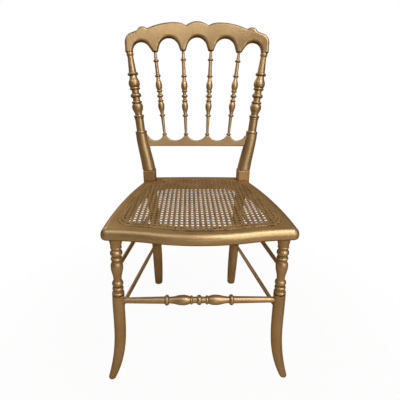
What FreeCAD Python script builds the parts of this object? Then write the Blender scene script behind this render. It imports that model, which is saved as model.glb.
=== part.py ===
import FreeCAD, Part
import math
import os
from types import SimpleNamespace

import Sketcher
from FreeCAD import Placement, Rotation, Vector

# A gilded side chair with a turned back and a caned seat. Millimetres, +Z up, floor at zero.
# The chair faces -Y. Left and right are as seen from the front. While it is built, Y is zero at the
# rear edge of the seat; at the end the whole chair is centred over the origin.

doc = FreeCAD.newDocument("gilded_side_chair")

# Driving dimensions: alias, size, meaning
SIZES = [
    ("seat_height", 441, "floor to the top of the seat frame"),
    ("frame_thick", 27, "thickness of the seat frame"),
    ("glue_gap", 0.1, "clearance round every tenon and dowel"),
    ("seat_front_width", 428, "seat frame across its front corners"),
    ("seat_rear_width", 315, "seat frame across its rear edge"),
    ("seat_depth", 380, "front corners to the rear edge"),
    ("front_bow", 25, "how far the serpentine front swells past its corners"),
    ("side_bow", 14.5, "swell of each side"),
    ("rear_bow", 5, "swell of the rear edge"),
    ("corner_radius", 15, "front corners in plan"),
    ("edge_radius", 16, "rounding of the frame's upper edge"),
    ("under_radius", 7, "rounding of the frame's lower edge"),
    ("front_rail_width", 35, "front rail at its middle"),
    ("side_rail_width", 39, "side rails"),
    ("rear_rail_width", 41, "rear rail"),
    ("opening_radius", 30, "front corners of the frame's opening"),
    ("rear_opening_radius", 67, "rear corners of the opening, which clear the posts"),
    ("corner_joint", 46, "front corners back to the butt joint with the side rails"),
    ("dowel_radius", 4, "dowel pins of the seat frame"),
    ("dowel_length", 32, "length of a dowel pin"),
    ("dowel_pitch", 13, "spacing of the two dowels of a joint"),
    ("rear_dowel_inset", 10, "rear edge of the seat to the rear rail's dowels"),
    ("cane_lap", 14, "cane that lies on the frame round the opening"),
    ("cane_thick", 1.6, "thickness of the woven cane"),
    ("net_pitch", 20.5, "pitch of the net that stands for the weave"),
    ("net_strand", 7, "width of its strands"),
    ("binder_width", 5, "flat strand that edges the cane"),
    ("binder_thick", 1.2, "thickness of that strand"),
    ("binder_inset", 1, "edge of the cane to the strand"),
    ("post_spread", 292, "axes of the back posts at the seat"),
    ("block_width", 37.5, "square block of a post at the seat"),
    ("block_round", 5, "rounded arrises of the block"),
    ("block_above", 32, "block above the seat"),
    ("block_below", 9, "block below the frame"),
    ("block_bevel", 1.2, "bevel round the top of the block"),
    ("back_rake", 7.7, "lean of the back, degrees"),
    ("rear_foot_spread", 282, "rear feet across their middles"),
    ("rear_foot_back", 69, "rear feet behind the posts' axes"),
    ("rear_leg_tuck", 6.8, "inward sweep of a rear leg between seat and foot"),
    ("rear_leg_radius", 17.6, "rear leg under its block"),
    ("rear_knee_radius", 16.3, "rear leg halfway down"),
    ("rear_foot_radius", 14, "rear leg at the floor"),
    ("foot_round", 4, "rounded edge under the feet"),
    ("ring_height", 140, "seat to the base ring of the turned post, along the back"),
    ("ring_spread", 336, "post axes at the base ring"),
    ("crest_seat", 366.5, "seat to the top of the posts, along the back"),
    ("crest_spread", 385, "post axes at the crest"),
    ("column_radius", 20.3, "plain column above the block"),
    ("column_top_radius", 16.8, "plain column under the base ring"),
    ("base_ring_radius", 17.2, "base ring"),
    ("base_ring_width", 8, "width of the base ring"),
    ("upper_column_radius", 12.6, "column above the base ring"),
    ("sub_bead_radius", 13.8, "small bead at the top of that column"),
    ("sub_bead_width", 4.5, "width of that bead"),
    ("turning_height", 249, "seat to the middle of the turned swells, along the back"),
    ("post_ring_radius", 15, "inner rings of a post"),
    ("post_ring_width", 7, "width of those rings"),
    ("post_disc_radius", 15.8, "middle bead of a post"),
    ("post_disc_width", 12, "width of that bead"),
    ("post_neck_radius", 10.4, "necks of a post"),
    ("post_vase_radius", 16.3, "swells of a post"),
    ("post_vase_foot", 12.4, "radius of a swell beside its inner ring"),
    ("post_inner_ring", 19.2, "middle of the turning to the inner rings"),
    ("post_swell", 32, "middle of the turning to the fullest part of the swells"),
    ("post_outer_ring", 59, "middle of the turning to the outer rings"),
    ("post_outer_radius", 15.3, "outer rings of a post"),
    ("post_outer_width", 7.5, "width of the outer rings"),
    ("post_taper_radius", 10.9, "top column of a post at its foot"),
    ("post_neck_top", 8.1, "top column of a post under its collar"),
    ("collar_radius", 10.2, "collar under the crest"),
    ("collar_width", 12.5, "width of the collar"),
    ("post_tenon_radius", 5, "tenon in the crest"),
    ("post_tenon_length", 16, "length of that tenon"),
    ("crest_bow", 18, "how far the middle of the crest lies behind its ends"),
    ("crest_thick", 24, "crest at its fullest"),
    ("crest_foot_thick", 17, "crest at its lower end"),
    ("crest_top_thick", 17, "crest along its top"),
    ("crest_full_rise", 35.5, "post tops to the fullest part of the crest, along the back"),
    ("crest_round", 6.5, "rounded arrises of the crest"),
    ("notch_round", 2.5, "hollow corners of the crest's outline"),
    ("crest_half_width", 204, "middle of the crest to its outer edge"),
    ("horn_width", 18.6, "crest's ends where they sit on the posts"),
    ("shoulder_radius", 26, "rounded shoulders"),
    ("shoulder_rise", 23.5, "post tops to the start of the shoulder's curve"),
    ("shoulder_turn", 68, "turn of the shoulder's curve, degrees"),
    ("bump_inset", 34, "outer edge of the crest to the outer foot of a bump"),
    ("bump_width", 27.5, "a bump across its feet"),
    ("bump_step", 6.4, "outer foot of a bump up to its inner foot"),
    ("bump_rise", 4.1, "inner foot of a bump to its top"),
    ("lobe_offset", 60.5, "middle of the crest to the top of a side lobe"),
    ("lobe_rise", 18.8, "inner foot of a bump to the top of a side lobe"),
    ("notch_offset", 32, "middle of the crest to a notch"),
    ("notch_drop", 7.5, "top of a side lobe down to a notch"),
    ("crown_rise", 11, "notch to the top of the crest"),
    ("pendant_width", 16, "lower ends of the crest over the spindles"),
    ("outer_pendant_rise", 3.5, "post tops to the outer pendants"),
    ("inner_pendant_rise", 8.5, "post tops to the inner pendants"),
    ("outer_arch_rise", 23.8, "outer pendants to the top of the outer arches"),
    ("side_arch_rise", 37, "outer pendants to the top of the next arches"),
    ("middle_arch_rise", 35.2, "inner pendants to the top of the middle arch"),
    ("arch_fullness", 0.9, "radius of an arch as a share of half its span"),
    ("arch_round", 9, "rounding of the arches along the front, at their tops"),
    ("mouth_lift", 3, "how much less that rounding is at the pendants"),
    ("spindle_top_pitch", 81, "spacing of the spindles at the crest"),
    ("spindle_low_pitch", 65.2, "spacing of the spindles at the lower rail"),
    ("spindle_ring_radius", 8.5, "inner rings of a spindle"),
    ("spindle_ring_width", 6, "width of those rings"),
    ("spindle_disc_radius", 9.3, "middle bead of a spindle"),
    ("spindle_disc_width", 8.5, "width of that bead"),
    ("spindle_neck_radius", 5, "necks of a spindle"),
    ("spindle_vase_radius", 9.5, "swells of a spindle"),
    ("spindle_vase_foot", 6.2, "radius of a swell beside its inner ring"),
    ("spindle_inner_ring", 13.7, "middle of the turning to the inner rings"),
    ("spindle_swell", 28.4, "middle of the turning to the fullest part of the swells"),
    ("spindle_outer_ring", 55.8, "middle of the turning to the outer rings"),
    ("spindle_outer_radius", 8.4, "outer rings of a spindle"),
    ("spindle_outer_width", 6.5, "width of the outer rings"),
    ("spindle_tip_radius", 3.7, "slender end in the crest"),
    ("spindle_tip_length", 12, "slender end inside the crest"),
    ("spindle_top_ring", 25, "crest to the middle of a spindle's top ring"),
    ("spindle_top_ring_radius", 8, "top ring of a spindle"),
    ("spindle_foot_neck", 3.8, "slender column above the foot bead"),
    ("spindle_foot_radius", 7, "foot bead of a spindle"),
    ("spindle_foot_width", 6.5, "width of the foot bead"),
    ("spindle_foot_seat", 4, "radius of a spindle where it sits on the rail"),
    ("spindle_seat_gap", 0.5, "foot bead above the rail, because the spindle leans"),
    ("spindle_tenon_radius", 3.2, "tenon in the lower rail"),
    ("spindle_tenon_length", 12, "length of that tenon"),
    ("rail_thick", 16, "lower back rail"),
    ("rail_bow", 8, "how far the middle of the lower rail lies behind its ends"),
    ("rail_bottom", 103, "seat to the lower edge of the lower rail, along the back"),
    ("rail_waist", 16.5, "lower edge of the lower rail to the bottom of its scallops"),
    ("scallop_depth", 15, "bottom of a scallop to the peaks"),
    ("end_scallop", 55.7, "outer spindles to the last peaks of the lower rail"),
    ("peak_width", 10, "flat top of a peak"),
    ("rail_round", 2.5, "rounded arrises of the lower rail"),
    ("leg_inset_side", 30, "seat's front corner to the leg's axis, across"),
    ("leg_inset_front", 19, "seat's front corners to the leg's axis, back"),
    ("leg_splay", 2.6, "outward lean of the front legs, degrees"),
    ("leg_tenon_radius", 8, "front leg's tenon in the frame"),
    ("leg_tenon_length", 18, "length of that tenon"),
    ("leg_cup_radius", 15.4, "cup of a front leg under the frame"),
    ("leg_cup_foot", 11.6, "foot of that cup"),
    ("leg_cup_length", 21, "length of that cup"),
    ("leg_lip_radius", 12.6, "small bead under the cup"),
    ("leg_lip_width", 4.5, "width of that bead"),
    ("leg_neck_radius", 10, "necks of a front leg"),
    ("leg_neck_length", 5, "length of a neck"),
    ("leg_globe_radius", 13.7, "large bead of a front leg"),
    ("leg_globe_width", 14, "width of that bead"),
    ("leg_bead_radius", 13, "small beads of a front leg"),
    ("leg_bead_width", 8, "width of a small bead"),
    ("leg_vase_radius", 14, "swell of a front leg"),
    ("leg_vase_rise", 10, "top of the swell to its fullest part"),
    ("leg_vase_fall", 37, "fullest part of the swell to its foot"),
    ("leg_vase_foot", 9.3, "foot of the swell"),
    ("leg_torus_radius", 13, "round ring below the swell"),
    ("leg_torus_width", 14, "width of that ring"),
    ("leg_plain_radius", 14.2, "plain front leg"),
    ("kick_height", 150, "floor to the start of the sabre curve"),
    ("kick_out", 25.5, "sabre curve outwards"),
    ("kick_front", 6, "sabre curve forwards"),
    ("shin_radius", 14.2, "front leg where the sabre curve starts"),
    ("ankle_radius", 13.2, "front leg a third of the way down the curve"),
    ("front_foot_radius", 9.6, "front leg at the floor"),
    ("front_foot_round", 3, "rounded edge under the front feet"),
    ("stretcher_height", 246, "floor to the front stretcher"),
    ("stretcher_end_radius", 7, "front stretcher at the legs"),
    ("stretcher_arm_radius", 8.6, "front stretcher beside its outer rings"),
    ("stretcher_socket", 11, "front stretcher inside each leg"),
    ("stretcher_lead", 1, "plain end of the front stretcher in front of the leg"),
    ("stretcher_ring_radius", 10.8, "inner rings of the front stretcher"),
    ("stretcher_ring_width", 6.5, "width of those rings"),
    ("stretcher_disc_radius", 12, "middle bead of the front stretcher"),
    ("stretcher_disc_width", 12, "width of that bead"),
    ("stretcher_neck_radius", 7.9, "necks of the front stretcher"),
    ("stretcher_vase_radius", 12.2, "swells of the front stretcher"),
    ("stretcher_vase_foot", 8.8, "radius of a swell beside its inner ring"),
    ("stretcher_inner_ring", 18.5, "middle of the stretcher to the inner rings"),
    ("stretcher_swell", 38, "middle of the stretcher to the fullest part of the swells"),
    ("stretcher_outer_ring", 77, "middle of the stretcher to the outer rings"),
    ("stretcher_outer_radius", 12.8, "outer rings of the front stretcher"),
    ("stretcher_outer_width", 10.5, "width of the outer rings"),
    ("side_rod_radius", 5.4, "side stretchers at the middle"),
    ("side_rod_end_radius", 4.6, "side stretchers at their ends"),
    ("side_rod_tenon", 9, "side stretchers inside the legs"),
    ("upper_rod_front", 333.5, "floor to the upper side stretcher at the front leg"),
    ("upper_rod_rear", 339.5, "floor to the upper side stretcher at the rear leg"),
    ("lower_rod_front", 213, "floor to the lower side stretcher at the front leg"),
    ("lower_rod_rear", 204, "floor to the lower side stretcher at the rear leg"),
    ("rear_rod_height", 240, "floor to the rear stretcher"),
]

sheet = doc.addObject("Spreadsheet::Sheet", "Sizes")
for row, (alias, number, meaning) in enumerate(SIZES, start=1):
    sheet.set(f"A{row}", alias)
    sheet.set(f"B{row}", str(number))
    sheet.set(f"C{row}", meaning)
    sheet.setAlias(f"B{row}", alias)
doc.recompute()


class Size:
    """A size from the sheet, or one worked out from several, with the expression that says how."""

    def __init__(self, value, text):
        self.value = float(value)
        self.text = text

    @staticmethod
    def of(other):
        return other if isinstance(other, Size) else Size(other, repr(float(other)))

    def __add__(self, other):
        other = Size.of(other)
        return Size(self.value + other.value, f"({self.text} + {other.text})")

    def __sub__(self, other):
        other = Size.of(other)
        return Size(self.value - other.value, f"({self.text} - {other.text})")

    def __mul__(self, other):
        other = Size.of(other)
        return Size(self.value * other.value, f"({self.text} * {other.text})")

    def __truediv__(self, other):
        other = Size.of(other)
        return Size(self.value / other.value, f"({self.text} / {other.text})")

    def __rsub__(self, other):
        return Size.of(other) - self

    def __neg__(self):
        return Size(-self.value, f"(-{self.text})")

    __radd__ = __add__
    __rmul__ = __mul__


def root(amount):
    return Size(math.sqrt(amount.value), f"sqrt({amount.text})")


def sine(angle):
    return Size(math.sin(math.radians(angle.value)), f"sin({angle.text})")


def cosine(angle):
    return Size(math.cos(math.radians(angle.value)), f"cos({angle.text})")


size = SimpleNamespace(**{alias: Size(sheet.get(alias), f"Sizes.{alias}") for alias, _, _ in SIZES})
ZERO = Size.of(0)


# Sketches and the solids made from them

def origin_plane(body, role):
    return next(item for item in body.Origin.OriginFeatures if item.Role == role)


def arc_by_radius(start, end, radius, turn):
    """Centre of the shorter arc from start to end; turn is 1 to the left and -1 to the right."""
    chord = end - start
    half = chord.Length / 2
    left = Vector(-chord.y, chord.x, 0).normalize()
    return (start + end) / 2 + left * (turn * math.sqrt(max(radius**2 - half**2, 0)))


def arc_geometry(start, end, centre, turn):
    radius = (start - centre).Length
    first, last = (start, end) if turn > 0 else (end, start)
    angles = [math.atan2(point.y - centre.y, point.x - centre.x) for point in (first, last)]
    if angles[1] <= angles[0]:
        angles[1] += 2 * math.pi
    return Part.ArcOfCircle(Part.Circle(centre, Vector(0, 0, 1), radius), *angles)


def draw(body, name, role, start, steps):
    """A closed outline in one of the body's planes, with every point bound to the sheet.

    A step is ("line", end), ("arc", end, radius, turn) or ("via", end, point on the arc)."""
    sketch = body.newObject("Sketcher::SketchObject", name)
    sketch.AttachmentSupport = [(origin_plane(body, role), "")]
    sketch.MapMode = "FlatFace"
    rules = []

    def rule(kind, *where, amount=None):
        if amount is None:
            rules.append((Sketcher.Constraint(kind, *where), None))
        else:
            rules.append((Sketcher.Constraint(kind, *where, amount.value), amount.text))

    def place(shape, end, point):
        for axis, kind, amount in ((-2, "DistanceX", point[0]), (-1, "DistanceY", point[1])):
            if amount.value == 0:
                rule("PointOnObject", shape, end, axis)
            else:
                rule(kind, -1, 1, shape, end, amount=amount)

    def flat(point):
        return Vector(point[0].value, point[1].value, 0)

    ends = []
    here = start
    for step in steps:
        kind, there = step[0], step[1]
        a, b = flat(here), flat(there)
        turn = 1
        if kind == "line":
            shape = sketch.addGeometry(Part.LineSegment(a, b), False)
        elif kind == "arc":
            turn = step[3]
            centre = arc_by_radius(a, b, step[2].value, turn)
            shape = sketch.addGeometry(arc_geometry(a, b, centre, turn), False)
            rule("Radius", shape, amount=step[2])
        else:
            through = flat(step[2])
            turn = 1 if (through - a).cross(b - through).z > 0 else -1
            centre = Part.Circle(a, through, b).Center
            shape = sketch.addGeometry(arc_geometry(a, b, centre, turn), False)
            mark = sketch.addGeometry(Part.Point(through), True)
            rule("PointOnObject", mark, 1, shape)
            place(mark, 1, step[2])
        ends.append((shape, 1, 2) if turn > 0 else (shape, 2, 1))
        place(shape, ends[-1][1], here)
        here = there
    for before, after in zip(ends, ends[1:] + ends[:1]):
        rule("Coincident", before[0], before[2], after[0], after[1])
    sketch.addConstraint([item for item, _ in rules])
    for index, (_, text) in enumerate(rules):
        if text:
            sketch.setExpression(f"Constraints[{index}]", text)
    return sketch


def new_body(name):
    return doc.addObject("PartDesign::Body", name)


def pad(body, sketch, length, both_ways=False):
    feature = body.newObject("PartDesign::Pad", f"{body.Name}_pad")
    feature.Profile = sketch
    feature.setExpression("Length", length.text)
    feature.Midplane = both_ways
    doc.recompute()
    return feature


def turn_solid(body, sketch):
    feature = body.newObject("PartDesign::Revolution", f"{body.Name}_turning")
    feature.Profile = sketch
    feature.ReferenceAxis = (sketch, ["V_Axis"])
    feature.Angle = 360
    doc.recompute()
    return feature


def edges_where(shape, test):
    return [f"Edge{number}" for number, edge in enumerate(shape.Edges, start=1) if test(edge)]


def fillet(body, base, radius, test, kind="PartDesign::Fillet"):
    feature = body.newObject(kind, f"{body.Name}_edges")
    feature.Base = (base, edges_where(base.Shape, test))
    feature.setExpression("Radius" if kind == "PartDesign::Fillet" else "Size", radius.text)
    doc.recompute()
    return feature


def upright(edge):
    """A straight edge along the body's own Z."""
    return edge.BoundBox.ZLength > 1 and edge.BoundBox.XLength < 1e-3 and edge.BoundBox.YLength < 1e-3


def level(edge, height):
    box = edge.BoundBox
    return abs(box.ZMin - height) < 1e-3 and abs(box.ZMax - height) < 1e-3


# Turned profiles. A step is (kind, run along the axis, radius at its start, radius at its end).

def straight(run, first, last=None):
    return ("straight", run, first, last or first)


def bead(run, foot, peak):
    return ("bead", run, foot, peak)


def ring(run, peak):
    """A half-round ring that stands on a square step."""
    return bead(run, peak - 0.45 * run, peak)


def ogee(run, first, last):
    return ("ogee", run, first, last)


def swell_up(run, first, last):
    return ("up", run, first, last)


def reversed_steps(steps):
    swap = {"up": "down", "down": "up"}
    return [step if step[0] == "bead" else (swap.get(step[0], step[0]), step[1], step[3], step[2])
            for step in reversed(steps)]


def quarter(run, difference):
    """Radius of an arc that is parallel to the axis at its fuller end."""
    return (run * run + difference * difference) / (2 * difference)


def turned(name, steps):
    """A body turned about its own Z from a list of profile steps."""
    body = new_body(name)
    path = []
    radius, height = steps[0][2], ZERO
    path.append(("line", (radius, height)))
    for kind, run, first, last in steps:
        if first.value != radius.value:
            path.append(("line", (first, height)))
        top = height + run
        end = first if kind == "bead" else last
        if kind == "straight":
            path.append(("line", (end, top)))
        elif kind == "bead":
            path.append(("arc", (end, top), quarter(run / 2, last - first), 1))
        elif kind == "up":
            path.append(("arc", (end, top), quarter(run, last - first), 1))
        elif kind == "down":
            path.append(("arc", (end, top), quarter(run, first - last), 1))
        else:
            middle = ((first + last) / 2, height + run / 2)
            drop = first - last if first.value > last.value else last - first
            bend = quarter(run / 2, drop / 2)
            way = 1 if first.value > last.value else -1
            path.append(("arc", middle, bend, way))
            path.append(("arc", (end, top), bend, -way))
        radius, height = end, top
    path.append(("line", (ZERO, height)))
    path.append(("line", (ZERO, ZERO)))
    turn_solid(body, draw(body, f"{name}_profile", "XZ_Plane", (ZERO, ZERO), path))
    return body


def swells(prefix):
    """The turning that posts, spindles and the front stretcher share: a bead between two swells."""
    part = {key: getattr(size, f"{prefix}_{key}") for key in (
        "ring_radius", "ring_width", "disc_radius", "disc_width", "neck_radius", "vase_radius",
        "vase_foot", "inner_ring", "swell", "outer_ring", "outer_radius", "outer_width")}
    half_ring, half_outer = part["ring_width"] / 2, part["outer_width"] / 2
    half = [
        straight(part["inner_ring"] - half_ring - part["disc_width"] / 2, part["neck_radius"]),
        ring(part["ring_width"], part["ring_radius"]),
        swell_up(part["swell"] - part["inner_ring"] - half_ring, part["vase_foot"], part["vase_radius"]),
        ogee(part["outer_ring"] - half_outer - part["swell"], part["vase_radius"], part["neck_radius"]),
        ring(part["outer_width"], part["outer_radius"]),
    ]
    disc = bead(part["disc_width"], part["neck_radius"], part["disc_radius"])
    return reversed_steps(half) + [disc] + half, part["outer_ring"] + half_outer


# Part workbench helpers

def along(direction):
    return Rotation(Vector(0, 0, 1), direction)


def rod(name, start, direction, length, radius):
    cylinder = doc.addObject("Part::Cylinder", name)
    cylinder.setExpression("Radius", radius.text)
    cylinder.setExpression("Height", length.text)
    cylinder.Placement = Placement(start, along(direction))
    return cylinder


def ring_section(name, radius, middle, rotation=Rotation()):
    circle = doc.addObject("Part::Circle", name)
    circle.setExpression("Radius", radius.text)
    circle.Placement = Placement(middle, rotation)
    return circle


def loft(name, sections):
    solid = doc.addObject("Part::Loft", name)
    solid.Sections = sections
    solid.Solid = True
    doc.recompute()
    return solid


def join(name, pieces):
    if len(pieces) == 1:
        return pieces[0]
    fused = doc.addObject("Part::MultiFuse", name)
    fused.Shapes = pieces
    doc.recompute()
    return fused


def cut(name, base, tools):
    result = doc.addObject("Part::Cut", name)
    result.Base = base
    result.Tool = join(f"{name}_tools", tools)
    doc.recompute()
    return result


def common(name, base, tool):
    result = doc.addObject("Part::Common", name)
    result.Base = base
    result.Tool = tool
    doc.recompute()
    return result


def round_foot(name, base, radius):
    rounded = doc.addObject("Part::Fillet", name)
    rounded.Base = base
    edges = [number for number, edge in enumerate(base.Shape.Edges, start=1) if level(edge, 0)]
    rounded.Edges = [(number, radius.value, radius.value) for number in edges]
    doc.recompute()
    return rounded


def box(name, low, high):
    """A box between two corners, for cutting pieces apart."""
    solid = doc.addObject("Part::Box", name)
    solid.Length, solid.Width, solid.Height = high - low
    solid.Placement = Placement(low, Rotation())
    return solid


parts = {}


def keep(label, piece):
    piece.Label = label
    parts[label] = piece
    return piece


def mirrored(label, piece):
    copy = doc.addObject("Part::Mirroring", f"mirror_{label}")
    copy.Source = piece
    copy.Normal = Vector(1, 0, 0)
    doc.recompute()
    return keep(label, copy)


# Reference places

FAR = 1000.0
frame_bottom = size.seat_height - size.frame_thick
frame_middle = size.seat_height - size.frame_thick / 2
post_y = -size.block_width / 2
back = Placement(Vector(0, post_y.value, size.seat_height.value),
                 Rotation(Vector(1, 0, 0), -size.back_rake.value))


def bow_radius(half_span, bow):
    return (half_span * half_span + bow * bow) / (2 * bow)


def bow_at(half_span, bow, across):
    radius = bow_radius(half_span, bow)
    return root(radius * radius - across * across) - radius + bow


# Seat frame

side_slope = (size.seat_front_width - size.seat_rear_width) / (2 * size.seat_depth)


def seat_outline(body, name, front_half, front, rear_half, rear):
    """Serpentine front, swelling sides and a slightly bowed rear, from the front left corner."""
    bow = size.front_bow
    serpentine = (front_half * front_half / 4 + bow * bow / 4) / bow
    rise = front - bow / 2
    side_middle = (front_half + rear_half) / 2 + size.side_bow
    halfway = (front + rear) / 2
    return draw(body, name, "XY_Plane", (-front_half, front), [
        ("arc", (-(front_half / 2), rise), serpentine, -1),
        ("arc", (front_half / 2, rise), serpentine, 1),
        ("arc", (front_half, front), serpentine, -1),
        ("via", (rear_half, rear), (side_middle, halfway)),
        ("via", (-rear_half, rear), (ZERO, rear + size.rear_bow)),
        ("via", (-front_half, front), (-side_middle, halfway)),
    ])


def seat_blank():
    body = new_body("seat_blank")
    front = -size.seat_depth
    sketch = seat_outline(body, "seat_outline", size.seat_front_width / 2, front,
                          size.seat_rear_width / 2, ZERO)
    blank = pad(body, sketch, size.frame_thick)
    corners = fillet(body, blank, size.corner_radius,
                     lambda edge: upright(edge) and edge.CenterOfMass.y < front.value / 2)
    top = size.frame_thick.value
    upper = fillet(body, corners, size.edge_radius,
                   lambda edge: level(edge, top) and edge.CenterOfMass.y < 0)
    fillet(body, upper, size.under_radius,
           lambda edge: level(edge, 0) and edge.CenterOfMass.y < 0)
    body.setExpression("Placement.Base.z", frame_bottom.text)
    return body


def inner_blank(name, grow, thick, bottom):
    """The frame's opening, grown outwards by an amount, as a solid."""
    body = new_body(name)
    across = size.side_rail_width - grow
    front = size.front_rail_width - grow
    rear = size.rear_rail_width - grow
    sketch = seat_outline(
        body, f"{name}_outline",
        size.seat_front_width / 2 - side_slope * front - across, front - size.seat_depth,
        size.seat_rear_width / 2 + side_slope * rear - across, -rear)
    blank = pad(body, sketch, thick)
    middle = blank.Shape.BoundBox.Center.y
    rounded = fillet(body, blank, size.opening_radius + grow,
                     lambda edge: upright(edge) and edge.CenterOfMass.y < middle)
    fillet(body, rounded, size.rear_opening_radius + grow,
           lambda edge: upright(edge) and edge.CenterOfMass.y > middle)
    body.setExpression("Placement.Base.z", bottom.text)
    return body


post_front = -size.block_width
post_inner = (size.post_spread - size.block_width) / 2
joint_y = size.corner_joint - size.seat_depth
leg_x = size.seat_front_width / 2 - size.leg_inset_side
leg_y = size.leg_inset_front - size.seat_depth
leg_way = Vector(math.sin(math.radians(size.leg_splay.value)), 0,
                 -math.cos(math.radians(size.leg_splay.value)))
leg_top = Vector(leg_x.value, leg_y.value, frame_bottom.value)


def dowel_places():
    """Middle and direction of each dowel of the right half of the seat frame."""
    half = size.dowel_pitch.value / 2
    middle = frame_middle.value
    front_x = size.seat_front_width.value / 2 - size.side_rail_width.value / 2
    post_x = size.post_spread.value / 2
    rear_y = -size.rear_dowel_inset.value
    for sign in (-1, 1):
        yield Vector(front_x + sign * half, joint_y.value, middle), Vector(0, 1, 0)
        yield Vector(post_x + sign * half, post_front.value, middle), Vector(0, 1, 0)
        yield Vector(post_inner.value, rear_y, middle + sign * half), Vector(1, 0, 0)


def dowels(name, radius, length):
    tools = []
    for number, (middle, direction) in enumerate(dowel_places(), start=1):
        start = middle - direction * (length.value / 2)
        tools.append(rod(f"{name}_{number}", start, direction, length, radius))
    return tools


def both_sides(name, tools):
    """The same tools on the left, as one object."""
    group = join(f"{name}_right", tools)
    copy = doc.addObject("Part::Mirroring", f"{name}_left")
    copy.Source = group
    copy.Normal = Vector(1, 0, 0)
    doc.recompute()
    return group, copy


leg_bore = rod("leg_bore", leg_top + leg_way * size.leg_tenon_radius.value, -leg_way,
               size.leg_tenon_radius + size.leg_tenon_length + size.glue_gap,
               size.leg_tenon_radius + size.glue_gap)
dowel_bores = dowels("dowel_bore", size.dowel_radius + size.glue_gap,
                     size.dowel_length + 2 * size.glue_gap)


def seat_frame():
    below = frame_bottom - size.frame_thick
    opening = inner_blank("seat_opening", ZERO, 3 * size.frame_thick, below)
    ring = cut("seat_ring", seat_blank(), [opening])
    low, high = below.value, (size.seat_height + size.frame_thick).value
    front = common("front_rail_blank", ring,
                   box("front_region", Vector(-FAR, -FAR, low), Vector(FAR, joint_y.value, high)))
    side = common("side_rail_blank", ring,
                  box("side_region", Vector(post_inner.value, joint_y.value, low),
                      Vector(FAR, post_front.value, high)))
    rear = common("rear_rail_blank", ring,
                  box("rear_region", Vector(-post_inner.value, joint_y.value, low),
                      Vector(post_inner.value, FAR, high)))
    right, left = both_sides("dowel_bores", dowel_bores)
    leg_left = doc.addObject("Part::Mirroring", "leg_bore_left")
    leg_left.Source = leg_bore
    leg_left.Normal = Vector(1, 0, 0)
    keep("seat_front_rail", cut("front_rail", front, [right, left, leg_bore, leg_left]))
    keep("seat_side_rail_right", cut("side_rail", side, [right]))
    mirrored("seat_side_rail_left", parts["seat_side_rail_right"])
    keep("seat_rear_rail", cut("rear_rail", rear, [right, left]))
    pins_right, pins_left = both_sides("dowel_pins", dowels("dowel", size.dowel_radius, size.dowel_length))
    pins = doc.addObject("Part::Compound", "dowel_set")
    pins.Links = [pins_right, pins_left]
    keep("seat_frame_dowels", pins)


# Cane

def cane():
    """The woven seat as a holed sheet on the frame, and the flat strand that edges it."""
    sheet_body = inner_blank("cane_sheet", size.cane_lap, size.cane_thick, size.seat_height)
    hole_zone = inner_blank("cane_zone", -size.net_strand, size.cane_thick, size.seat_height)
    doc.recompute()
    zone = hole_zone.Shape
    pitch, gap = size.net_pitch.value, (size.net_pitch - size.net_strand).value
    thick, bottom = size.cane_thick.value, size.seat_height.value
    middle = bottom + thick / 2
    frame = zone.BoundBox
    columns = int(frame.XMax // pitch)
    rows = int(frame.YLength // pitch)
    first_row = frame.YMin + (frame.YLength - (rows - 1) * pitch) / 2
    holes = []
    for column in range(-columns, columns + 1):
        for row in range(rows):
            x, y = column * pitch, first_row + row * pitch
            corners = [Vector(x + i * gap / 2, y + j * gap / 2, bottom)
                       for i, j in ((-1, -1), (1, -1), (1, 1), (-1, 1))]
            if all(zone.isInside(Vector(c.x, c.y, middle), 0.01, True) for c in corners):
                holes.append(Part.makePolygon(corners + corners[:1]))
    top_wire = max(sheet_body.Shape.Faces, key=lambda face: face.CenterOfMass.z).OuterWire
    top_wire.translate(Vector(0, 0, -thick))
    net = doc.addObject("Part::Feature", "cane_net")
    net.Shape = Part.makeFace([top_wire] + holes, "Part::FaceMakerBullseye").extrude(Vector(0, 0, thick))
    keep("cane_panel", net)
    bottom_of_strand = size.seat_height + size.cane_thick
    edge = size.cane_lap - size.binder_inset
    outer = inner_blank("binder_outer", edge, size.binder_thick, bottom_of_strand)
    inner = inner_blank("binder_inner", edge - size.binder_width, 3 * size.binder_thick,
                        bottom_of_strand - size.binder_thick)
    keep("cane_binder", cut("binder", outer, [inner]))


# Front legs

def front_leg_axis(height):
    """Middle of a front leg at a height: a straight splay, then the sabre curve."""
    down = (frame_bottom.value - height) * math.tan(math.radians(size.leg_splay.value))
    kick = max(0.0, 1 - height / size.kick_height.value) ** 2
    return Vector(leg_x.value + down + size.kick_out.value * kick,
                  leg_y.value - size.kick_front.value * kick, height)


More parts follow.
